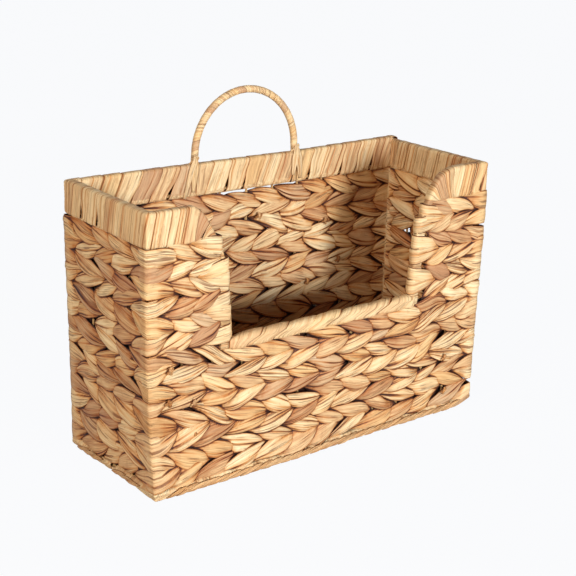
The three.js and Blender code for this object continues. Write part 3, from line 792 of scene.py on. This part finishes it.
def edge_wraps(builder, rng, way):
    """The turned ends of the open courses on one side of the opening."""
    half = (WEAVE_TOP - WEAVE_FOOT) / COURSES / 2
    bend = pi * WRAP_DEPTH / 2
    reach = WRAP_REACH - WRAP_DEPTH + bend
    length = np.linspace(-reach, reach, WRAP_RINGS)
    share, away = length / reach, np.abs(length) / reach
    angle = np.clip(length / WRAP_DEPTH, -pi / 2, pi / 2)
    out = lift(np.stack([-np.cos(angle), np.sin(angle)], 1), 0.0)
    beyond = np.clip(np.abs(length) - bend, 0, None)
    order = slice(None, None, -way)
    for level in range(CLOSED_COURSES, COURSES):
        twist = 1 if level % 2 == 0 else -1
        foot = WEAVE_FOOT + 2 * half * level
        edge_x = opening_at(foot + half, way)
        wall_y = np.full(WRAP_RINGS, -WALL_Y - flare(foot))
        slope = -twist * way * rng.uniform(0.5, 0.8)
        z = foot + half * (1 - slope * away - 0.3 * slope)
        wide = half * rng.uniform(1.0, 1.15) * (1 - away**3) ** 0.8 + 0.1
        crease = grooves(rng, share, 7, 0.035)
        face = WRAP_CROWN * (1 - FACE_ACROSS**2) ** 0.6 + fold(rng) * 0.6 - crease + rng.uniform(-0.3, 0.3)
        skin = WRAP_DEPTH + two_faces(face, 0.6) - 1.2 * away[:, None] ** 2
        place = lift(np.stack([edge_x + WRAP_DEPTH + beyond, wall_y], 1), z)
        rings = place[:, None] + out[:, None] * skin[..., None]
        rings[..., 2] += wide[:, None] * ACROSS
        rings[..., 0] *= way
        # Painted shade: darker at the edges, in the creases and towards the ends.
        dark = smooth(np.abs(ACROSS), 0.86, 1.0) + 0.3 * smooth(away, 0.5, 1.0)[:, None]
        dark[:, FACE] += crease * 1.6
        tone = paint(skin.shape, rng.uniform(0.3, 1.0), rng.uniform(0.1, 0.9), dark)
        builder.sweep(rings[:, order], length - length[0], tone[:, order])


RIBBON_RINGS, RIBBON_THICK = 25, 0.5


def respaced(points, count):
    points = np.array(points, float)
    return between(np.linspace(0, 1, count), np.linspace(0, 1, len(points)), points)


def ribbon(builder, rng, line, out, half, dark=0.2, tones=(0.3, 0.8)):
    """A short flat strip along a line that is rounded off. Its face looks out."""
    curve = line
    for _ in range(3):
        curve = respaced(curve, 2 * len(curve) - 1)
        curve[1:-1] = (curve[:-2] + 2 * curve[1:-1] + curve[2:]) / 4
    curve = respaced(curve, RIBBON_RINGS)
    out = unit(respaced(out, RIBBON_RINGS))
    half = np.interp(np.linspace(0, 1, RIBBON_RINGS), np.linspace(0, 1, len(half)), half)
    side = unit(np.cross(out, unit(np.gradient(curve, axis=0))))
    crease = grooves(rng, np.linspace(-1, 1, RIBBON_RINGS), 4, 0.06)
    face = RIBBON_THICK * (1 - FACE_ACROSS**2) ** 0.6 - crease * 0.6
    skin = two_faces(face, RIBBON_THICK)
    rings = curve[:, None] + side[:, None] * (half[:, None] * ACROSS)[..., None]
    rings = rings + out[:, None] * skin[..., None]
    # Painted shade at the edges and in the creases, over the ribbon's even darkness.
    dark = np.tile(dark + 0.5 * smooth(np.abs(ACROSS), 0.8, 1.0), (RIBBON_RINGS, 1))
    dark[:, FACE] += crease
    tone = paint(skin.shape, rng.uniform(*tones), rng.uniform(0.1, 0.9), dark)
    builder.sweep(rings, length_along(curve), tone)


SLIVER_SPACING, SLIVER_LENGTH, SLIVER_CLEAR = 11.0, 23.0, 8.0
# Points of a sliver: share of its length, height in rises, distance out.
SLIVER = [(0.0, -1, 0.0), (0.3, -0.5, 0.8), (0.7, 0.5, 1.4), (1.0, 1, 1.0)]


def border_slivers(builder, rng, corners):
    """The long slanting strips that are seen on the outside of the border, between its corners."""
    corners = np.array(corners, float)
    for start, end in zip(corners, corners[1:]):
        way = unit(end - start)
        run, out = np.append(way, 0), np.array([way[1], -way[0], 0])
        face = np.append(start, BORDER_TOP / 2 + BORDER_FOOT) + out * (BAND_HALF + 0.5)
        # The ends at a corner of the basket are kept clear.
        clear, clear_end = (SLIVER_CLEAR * (point[1] != 0) for point in (start, end))
        last = np.linalg.norm(end - start) - SLIVER_LENGTH - clear_end
        for at in np.arange(clear, last, SLIVER_SPACING) + rng.uniform(-2, 2):
            rise = rng.uniform(2.4, 3.4)
            line = [
                face + run * (at + share * SLIVER_LENGTH) + out * proud + [0, 0, up * rise]
                for share, up, proud in SLIVER
            ]
            wide = rng.uniform(1.7, 2.4, 2)
            ribbon(builder, rng, line, [out] * 4, [0.5, *wide, 0.5], 0.15, (0.45, 0.95))


# The foot's side, where a strip ends across from it and down from the rim's top, and its half width.
BINDINGS = [(-1, -13, -31, 3.6), (-1, -4, -26, 4.4), (1, -5, -23, 4.2), (1, 4, -27, 4.6)]
BINDING_LOOK = (0.05, (0.6, 0.9))


def hoop_bindings(builder, rng):
    """The strips that bind the hoop's feet into the rim, down over its inner face."""
    inner, top = RIM_Y - BAND_HALF - 0.9, RIM_TOP + 1.0
    up, inside = (0, -0.6, 0.8), (0, -1, 0)
    for way, across, drop, half in BINDINGS:
        foot = way * HOOP_X
        line = [
            (foot + 0.05 * across, HOOP_Y - 3.2, top + 6),
            (foot + 0.1 * across, HOOP_Y - 4.6, top + 1),
            (foot + 0.4 * across, inner, top - 5),
            (foot + across, inner, top + drop),
        ]
        ribbon(builder, rng, line, [inside, up, inside, inside], [1.6, 2.6, half, 1.8], *BINDING_LOOK)
    # Each foot is thickened by a last turn across it.
    for foot in (-HOOP_X, HOOP_X):
        front = HOOP_Y - 4.2
        line = [
            (foot - 5.5, front + 2.5, top - 1),
            (foot - 1, front, top + 2),
            (foot + 4, front + 2.5, top + 5),
        ]
        ribbon(builder, rng, line, [inside] * 3, [1.6, 2.8, 1.4], *BINDING_LOOK)


# Cut ends that stand out between the leaves, from the photo: across and up, and their distance from the
# wall's middle.
FRONT_STUBS = [(143, 58), (146, 23), (-142, 79), (-165, 84), (-140, 49), (-164, 112)]
BACK_STUBS = [(92, 172), (72, 113), (110, 130), (12, 188)]
FRONT_STAND, BACK_STAND, STUB_LENGTH = 5.9, 5.2, 4.2


def stub(builder, rng, place):
    """A cut stem end: two short curled strips that cross."""
    out = np.array([0, -1.0, 0])
    for turn in rng.uniform((0.2, 1.3), (0.9, 2.4)):
        way = np.array([cos(turn), 0, sin(turn)])
        line = [place - way * STUB_LENGTH, place + out * 1.8, place + way * STUB_LENGTH * 0.7 + out * 0.6]
        faces = [out - way * 0.3, out, out + way * 0.8]
        ribbon(builder, rng, line, faces, [1.0, 2.1, 1.3], dark=rng.uniform(0.1, 0.5))


def make_stubs(material):
    builder, rng = Builder(), draws(50)
    for x, z in FRONT_STUBS:
        stub(builder, rng, np.array([x, -WALL_Y - flare(z) - FRONT_STAND, z]))
    for x, z in BACK_STUBS:
        stub(builder, rng, np.array([x, WALL_Y - BACK_STAND, z]))
    builder.mesh("stem_ends", material, "twined_stem")


def hoop_rod():
    """The hoop: a half circle on two straight feet that reach into the rim."""
    radius = HOOP_X - 1
    angles = np.linspace(0, pi, 61)
    out = np.stack([-np.cos(angles), np.zeros(61), np.sin(angles)], 1)
    arc = [0, HOOP_Y, HOOP_HIGH[2] - HOOP_HALF - radius] + radius * out
    foot = np.array([[-HOOP_X, HOOP_Y, RIM_TOP - 3]])
    line = np.concatenate([foot, arc, foot * [-1, 1, 1]])
    out = np.concatenate([out[:1], out, out[-1:]])
    return Rod(line, out, np.array([0.0, 1.0, 0.0]), HOOP_ROD, HOOP_PITCH)


def wound(name, number, form, strip, slot, node, **options):
    builder = Builder()
    wind(builder, draws(number), form, **options)
    builder.mesh(name, strip, slot, node)


def make_rim(strip):
    back = plan_band([(RIM_X, RIM_Y - 5), (RIM_X, RIM_Y), (HOOP_X, RIM_Y)], RIM_FOOT, RIM_TOP, BACK_PITCH)
    raised = back[1].copy()
    raised[:, 2] += CORNER_RISE * np.exp(-(((RIM_X - raised[:, 0]) / CORNER_RISE_REACH) ** 2))
    middle = plan_band([(HOOP_X, RIM_Y), (-HOOP_X, RIM_Y)], RIM_FOOT, RIM_TOP, BACK_PITCH)
    lip_y = -WALL_Y - flare(LIP_TOP)
    lip = plan_band([(x, lip_y) for x in LIP_BAND], LIP_FOOT, LIP_TOP + 1, LIP_PITCH)
    bands = [
        ("rim_strip_right", "rim_wrap_front_right", rim_front_lines(1), dict(RIM_WINDING, outer_gaps=0.15)),
        ("rim_strip_left", "rim_wrap_front_left", flip(rim_front_lines(-1)), RIM_WINDING),
        ("rim_strip_back_right", "rim_wrap_back_right", (back[0], raised, *back[2:]), BACK_WINDING),
        ("rim_strip_back_left", "rim_wrap_back_left", flip(back), BACK_WINDING),
        ("rim_strip_back_middle", "rim_wrap_back_middle", middle, BACK_WINDING),
        ("lip_strip", "lip_wrap", lip, LIP_WINDING),
    ]
    for number, (name, node, lines, options) in enumerate(bands):
        wound(name, number, Band(*lines), strip, "wound_strip", node, **options)


def make_opening_sides(strip):
    sides = (("right", side_band_lines(1), 1, 6), ("left", flip(side_band_lines(-1)), -1, 7))
    for name, lines, way, number in sides:
        builder, rng = Builder(), draws(number)
        wind(builder, rng, Band(*lines), **SIDE_WINDING)
        edge_wraps(builder, rng, way)
        builder.mesh(f"opening_strip_{name}", strip, "wound_strip", f"opening_side_wrap_{name}")


def make_border(strip):
    for name, way, number in (("front", -1, 9), ("back", 1, 10)):
        x, y = way * (WALL_X + BORDER_OUT), way * (WALL_Y + BORDER_OUT)
        run = [(x, 0), (x, y), (-x, y), (-x, 0)]
        builder, rng = Builder(), draws(number)
        wind(builder, rng, Band(*plan_band(run, BORDER_FOOT, BORDER_TOP, BORDER_PITCH)), **BORDER_WINDING)
        border_slivers(builder, rng, run)
        for points in builder.points:
            stand_forward(points)
        builder.mesh(f"border_strip_{name}", strip, "wound_strip", f"base_border_{name}")


def make_hoop(strip, hoop_strip):
    wound("hoop_strip", 11, hoop_rod(), hoop_strip, "hoop_strip", "hoop_wrap", **HOOP_WINDING)
    builder = Builder()
    hoop_bindings(builder, draws(12))
    builder.mesh("hoop_binding", strip, "wound_strip")


# Base weaver

BASE_ROWS, BASE_STATIONS, BASE_ROUND = 8, 121, 20
BASE_WAVE, BASE_THICK, BASE_END = 2.6, 1.5, 12


def base_weaver(material):
    rng = np.random.default_rng(SEED)
    builder = Builder()
    half_y = (BASE_HIGH[1] - BASE_LOW[1]) / 2
    pitch = 2 * half_y / BASE_ROWS
    reach = BASE_HIGH[0] - 3
    x = np.linspace(-reach, reach, BASE_STATIONS)
    end = smooth(reach - np.abs(x), 0, BASE_END)
    angle = np.arange(BASE_ROUND) * 2 * pi / BASE_ROUND
    for row in range(BASE_ROWS):
        wave = np.cos(pi * (x / STITCH + row))
        z = (BASE_LOW[2] + BASE_HIGH[2]) / 2 + BASE_WAVE * wave * end
        place = np.stack([x, np.full(BASE_STATIONS, -half_y + pitch * (row + 0.5)), z], 1)
        wide = pitch / 2 * (0.97 + 0.08 * np.abs(wave)) * (0.5 + 0.5 * end)
        wide = wide * (1 + 0.05 * np.sin(x * 0.09 + row * 1.7))
        crease = 0.35 * np.exp(-(((np.cos(angle) - rng.uniform(-0.5, 0.5)) / 0.12) ** 2))
        rings = np.repeat(place[:, None], BASE_ROUND, 1)
        rings[..., 1] += wide[:, None] * np.cos(angle)
        rings[..., 2] += BASE_THICK * np.sin(angle) - crease * np.sign(np.sin(angle))
        leaf_tone = rng.uniform(0, 1) * 0.6 + 0.4 * smooth(np.sin(x * 0.05 + row), -0.5, 0.5)[:, None]
        builder.sweep(rings, x - x[0], paint(rings.shape[:2], leaf_tone, rng.uniform(0, 1), 0.3))
    builder.mesh("base_weave", material, "twined_stem", "base_weaver")


# Materials


class Nodes:
    """A material's or world's node tree, with short calls for the nodes used here."""

    def __init__(self, owner):
        self.owner = owner
        owner.use_nodes = True
        self.tree = owner.node_tree
        self.tree.nodes.clear()

    def add(self, kind, **values):
        node = self.tree.nodes.new("ShaderNode" + kind)
        for key, value in values.items():
            if key in node.inputs:
                node.inputs[key].default_value = value
            else:
                setattr(node, key, value)
        return node

    def put(self, value, socket):
        """Sets a socket to a number or colour, or joins another socket to it."""
        if isinstance(value, (int, float)):
            socket.default_value = value
        elif isinstance(value, tuple):
            socket.default_value = (*value, 1)
        else:
            self.tree.links.new(value, socket)

    def math(self, operation, a, b, clamp=False):
        node = self.add("Math", operation=operation, use_clamp=clamp)
        self.put(a, node.inputs[0])
        self.put(b, node.inputs[1])
        return node.outputs[0]

    def times(self, a, b):
        return self.math("MULTIPLY", a, b)

    def ramp(self, factor, stops):
        node = self.add("ValToRGB")
        ramp = node.color_ramp
        while len(ramp.elements) < len(stops):
            ramp.elements.new(0.5)
        for element, (place, colour) in zip(ramp.elements, stops):
            element.position = place
            element.color = (*colour, 1)
        self.put(factor, node.inputs[0])
        return node.outputs[0]

    def mix(self, factor, a, b, blend="MIX"):
        node = self.add("Mix", data_type="RGBA", blend_type=blend)
        for socket, value in ((0, factor), (6, a), (7, b)):
            self.put(value, node.inputs[socket])
        return node.outputs[2]

    def surface(self, base, height, strength, distance, **values):
        shader = self.add("BsdfPrincipled", **values)
        self.put(base, shader.inputs["Base Color"])
        bump = self.add("Bump", Strength=strength, Distance=distance)
        self.put(height, bump.inputs["Height"])
        self.put(bump.outputs[0], shader.inputs["Normal"])
        return self.finish(shader)

    def seen_by_camera(self):
        """1 where the camera, a reflection or a view through glass sees the surface."""
        path = self.add("LightPath").outputs
        seen = self.math("MAXIMUM", path["Is Camera Ray"], path["Is Glossy Ray"])
        return self.math("MAXIMUM", seen, path["Is Transmission Ray"])

    def mix_shaders(self, factor, first, second):
        node = self.add("MixShader")
        for socket, value in enumerate((factor, first.outputs[0], second.outputs[0])):
            self.put(value, node.inputs[socket])
        return node

    def finish(self, shader, kind="OutputMaterial"):
        self.put(shader.outputs[0], self.add(kind).inputs[0])
        return self.owner


def srgb(r, g, b):
    """A colour written as it renders, 0 to 255, in the shader's linear numbers."""
    return tuple(((c / 255 + 0.055) / 1.055) ** 2.4 for c in (r, g, b))


BLACK, WHITE, GREY = (0, 0, 0), (1, 1, 1), (0.15, 0.15, 0.15)
STRAW = [(0.0, srgb(150, 100, 62)), (0.3, srgb(202, 156, 110)), (0.6, srgb(232, 199, 150))]
STRAW.append((1.0, srgb(250, 231, 190)))
# Colours multiplied in by the tone's darkness: darker edges and painted shade.
EDGE_AND_PAINTED_SHADE_STOPS = [(0.0, WHITE), (0.3, srgb(224, 182, 140)), (0.6, srgb(128, 76, 44)), (1.0, srgb(58, 29, 15))]
# Noise in the fibre: scale along, scale across, detail and offset. The material's number of streaks scales
# the first four across.
FINE, BROAD = (0.05, 1.0, 3.0, 0.0), (0.03, 0.3, 2.0, 5.0)
CRACK, HAIRLINE = (0.025, 0.8, 1.0, 13.0), (0.02, 1.7, 1.0, 21.0)
BLOTCH, PATCH = (0.09, 3.0, 2.0, 9.0), (0.045, 2.5, 1.0, 31.0)
# Where the noise begins and ends to be a crack, a hairline or a patch of them.
CRACK_RANGE = [(0.59, BLACK), (0.63, WHITE)]
HAIRLINE_RANGE = [(0.54, BLACK), (0.6, WHITE)]
PATCH_RANGE = [(0.4, GREY), (0.6, WHITE)]
CRACK_COLOUR, HAIRLINE_COLOUR = srgb(112, 62, 30), srgb(146, 92, 52)
WIRE_RANGE = [(0.3, srgb(150, 108, 64)), (0.7, srgb(214, 172, 116))]


def fibre_material(name, streaks_across, roughness, cracked=0.6):
    """Dried plant fibre: streaks along the strip, a tone for each leaf, dark edges that are partly painted
    shade, painted shade in creases and shaded places, and cracks.
    """
    n = Nodes(bpy.data.materials.new(name))
    parts = n.add("SeparateColor")
    n.put(n.add("Attribute", attribute_name="tone").outputs["Color"], parts.inputs[0])
    leaf_tone, hue, edge = parts.outputs
    split = n.add("SeparateXYZ")
    n.put(n.add("UVMap", uv_map="length_and_width").outputs[0], split.inputs[0])

    def streak(kind, streaks=1.0):
        along, across, detail, offset = kind
        place = n.add("CombineXYZ")
        depth = n.math("ADD", n.times(leaf_tone, 17.0), offset)
        parts = (n.times(split.outputs[0], along), n.times(split.outputs[1], streaks * across), depth)
        for socket, value in zip(place.inputs, parts):
            n.put(value, socket)
        noise = n.add("TexNoise", Scale=1.0, Detail=detail, Roughness=0.6)
        n.put(place.outputs[0], noise.inputs["Vector"])
        return noise.outputs["Fac"]

    fine, broad, crack, hairline = (streak(kind, streaks_across) for kind in (FINE, BROAD, CRACK, HAIRLINE))
    blotch, patch = streak(BLOTCH), n.ramp(streak(PATCH), PATCH_RANGE)
    crack, hairline = n.ramp(crack, CRACK_RANGE), n.ramp(hairline, HAIRLINE_RANGE)
    lightness = n.math("ADD", n.times(leaf_tone, 0.5), n.times(broad, 0.7))
    lightness = n.math("ADD", lightness, n.times(fine, 0.6))
    base = n.ramp(n.math("SUBTRACT", lightness, 0.38, clamp=True), STRAW)
    # Some leaves are rosy or golden, and some have stains.
    for value, beyond, limit, strength, colour in (
        (hue, "GREATER_THAN", 0.92, 0.5, srgb(168, 116, 84)),
        (hue, "LESS_THAN", 0.2, 0.3, srgb(226, 176, 104)),
        (blotch, "GREATER_THAN", 0.62, 0.22, srgb(172, 116, 68)),
    ):
        base = n.mix(n.times(n.math(beyond, value, limit), strength), base, colour)
    # Cracks and hairlines come in patches, with smooth skin between.
    base = n.mix(n.times(n.times(crack, patch), cracked), base, CRACK_COLOUR)
    base = n.mix(n.times(n.times(hairline, patch), cracked * 0.6), base, HAIRLINE_COLOUR)
    # Darker edges and painted shade from the tone's third part are multiplied in.
    base = n.mix(1.0, base, n.ramp(edge, EDGE_AND_PAINTED_SHADE_STOPS), blend="MULTIPLY")
    height = n.math("ADD", fine, n.times(broad, 1.4))
    height = n.math("SUBTRACT", height, n.times(crack, 0.8))
    return n.surface(base, height, 0.8, 0.0008, **{"Roughness": roughness, "Specular IOR Level": 0.35})


def wire_material():
    """Thin steel wire wound with stem, seen in the gaps of the weave."""
    n = Nodes(bpy.data.materials.new("wound_wire"))
    noise = n.add("TexNoise", Scale=260.0, Detail=3.0)
    n.put(n.add("TexCoord").outputs["Object"], noise.inputs["Vector"])
    base = n.ramp(noise.outputs["Fac"], WIRE_RANGE)
    return n.surface(base, noise.outputs["Fac"], 0.4, 0.0005, Roughness=0.7)


# Room, lamps and camera

PAPER = (*srgb(252, 253, 255), 1)
# The camera sees the floor glow like paper, and the basket is lit by its colour.
FLOOR_GLOW = 0.97
FLOOR_COLOUR = (0.6, 0.5, 0.4, 1)
ROOM_COLOUR, ROOM_STRENGTH = (1.0, 0.86, 0.68, 1), 0.06
# Name, place, size, power and colour.
LAMPS = [
    ("key", (0.08, -2.1, 0.43), 0.55, 51, (0.9, 0.955, 1.0)),
    ("fill", (-1.7, -0.6, 1.0), 0.5, 23.5, (1.0, 0.92, 0.82)),
]
LAMP_AIM = (0, 0, 0.12)
CAMERA_PLACE, CAMERA_AIM = (-0.6421, -0.8450, 0.4819), (-0.0066, -0.0151, 0.1392)
CAMERA_LENS, CAMERA_ROLL = 76.25, 1.57


def look(place, aim):
    return (Vector(aim) - Vector(place)).to_track_quat("-Z", "Y")



def make_room():
    bpy.ops.mesh.primitive_plane_add(size=40, location=(0, 0, -0.0004))
    floor = bpy.context.object
    floor.name = "floor"
    n = Nodes(bpy.data.materials.new("pale_floor"))
    diffuse = n.add("BsdfDiffuse", Color=FLOOR_COLOUR)
    glow = n.add("Emission", Color=PAPER, Strength=1.0)
    floor.data.materials.append(
        n.finish(n.mix_shaders(n.times(n.seen_by_camera(), FLOOR_GLOW), diffuse, glow))
    )
    n = Nodes(bpy.data.worlds.new("room"))
    light = n.add("Background", Color=ROOM_COLOUR, Strength=ROOM_STRENGTH)
    white = n.add("Background", Color=PAPER, Strength=1.0)
    room = n.finish(n.mix_shaders(n.seen_by_camera(), light, white), "OutputWorld")
    bpy.context.scene.world = room


def add_lamp(name, place, size, power, colour):
    data = bpy.data.lights.new(name, "AREA")
    data.shape = "DISK"
    data.size = size
    data.energy = power
    data.color = colour
    lamp = placed(name, data)
    lamp.location = place
    lamp.rotation_mode = "QUATERNION"
    lamp.rotation_quaternion = look(place, LAMP_AIM)


def make_camera():
    data = bpy.data.cameras.new("camera")
    data.sensor_width = 36
    data.lens = CAMERA_LENS
    data.clip_end = 100
    camera = placed("camera", data)
    turn = look(CAMERA_PLACE, CAMERA_AIM).to_matrix().to_4x4()
    roll = Matrix.Rotation(radians(CAMERA_ROLL), 4, "Z")
    camera.matrix_world = Matrix.Translation(CAMERA_PLACE) @ turn @ roll
    bpy.context.scene.camera = camera


make_camera()
make_room()
for lamp in LAMPS:
    add_lamp(*lamp)
bpy.context.scene.view_settings.view_transform = "Standard"

stem = fibre_material("twined_stem", 21.0, 0.6, cracked=0.75)
strip = fibre_material("wound_strip", 20.0, 0.6, cracked=0.4)
hoop_strip = fibre_material("hoop_strip", 9.0, 0.5)
wire = wire_material()
for name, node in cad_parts.items():
    if "wire" in name or "stake" in name or "post" in name:
        node.data.materials.clear()
        node.data.materials.append(wire)
make_weave(stem)
make_rim(strip)
make_opening_sides(strip)
make_border(strip)
make_hoop(strip, hoop_strip)
base_weaver(stem)
make_stubs(stem)
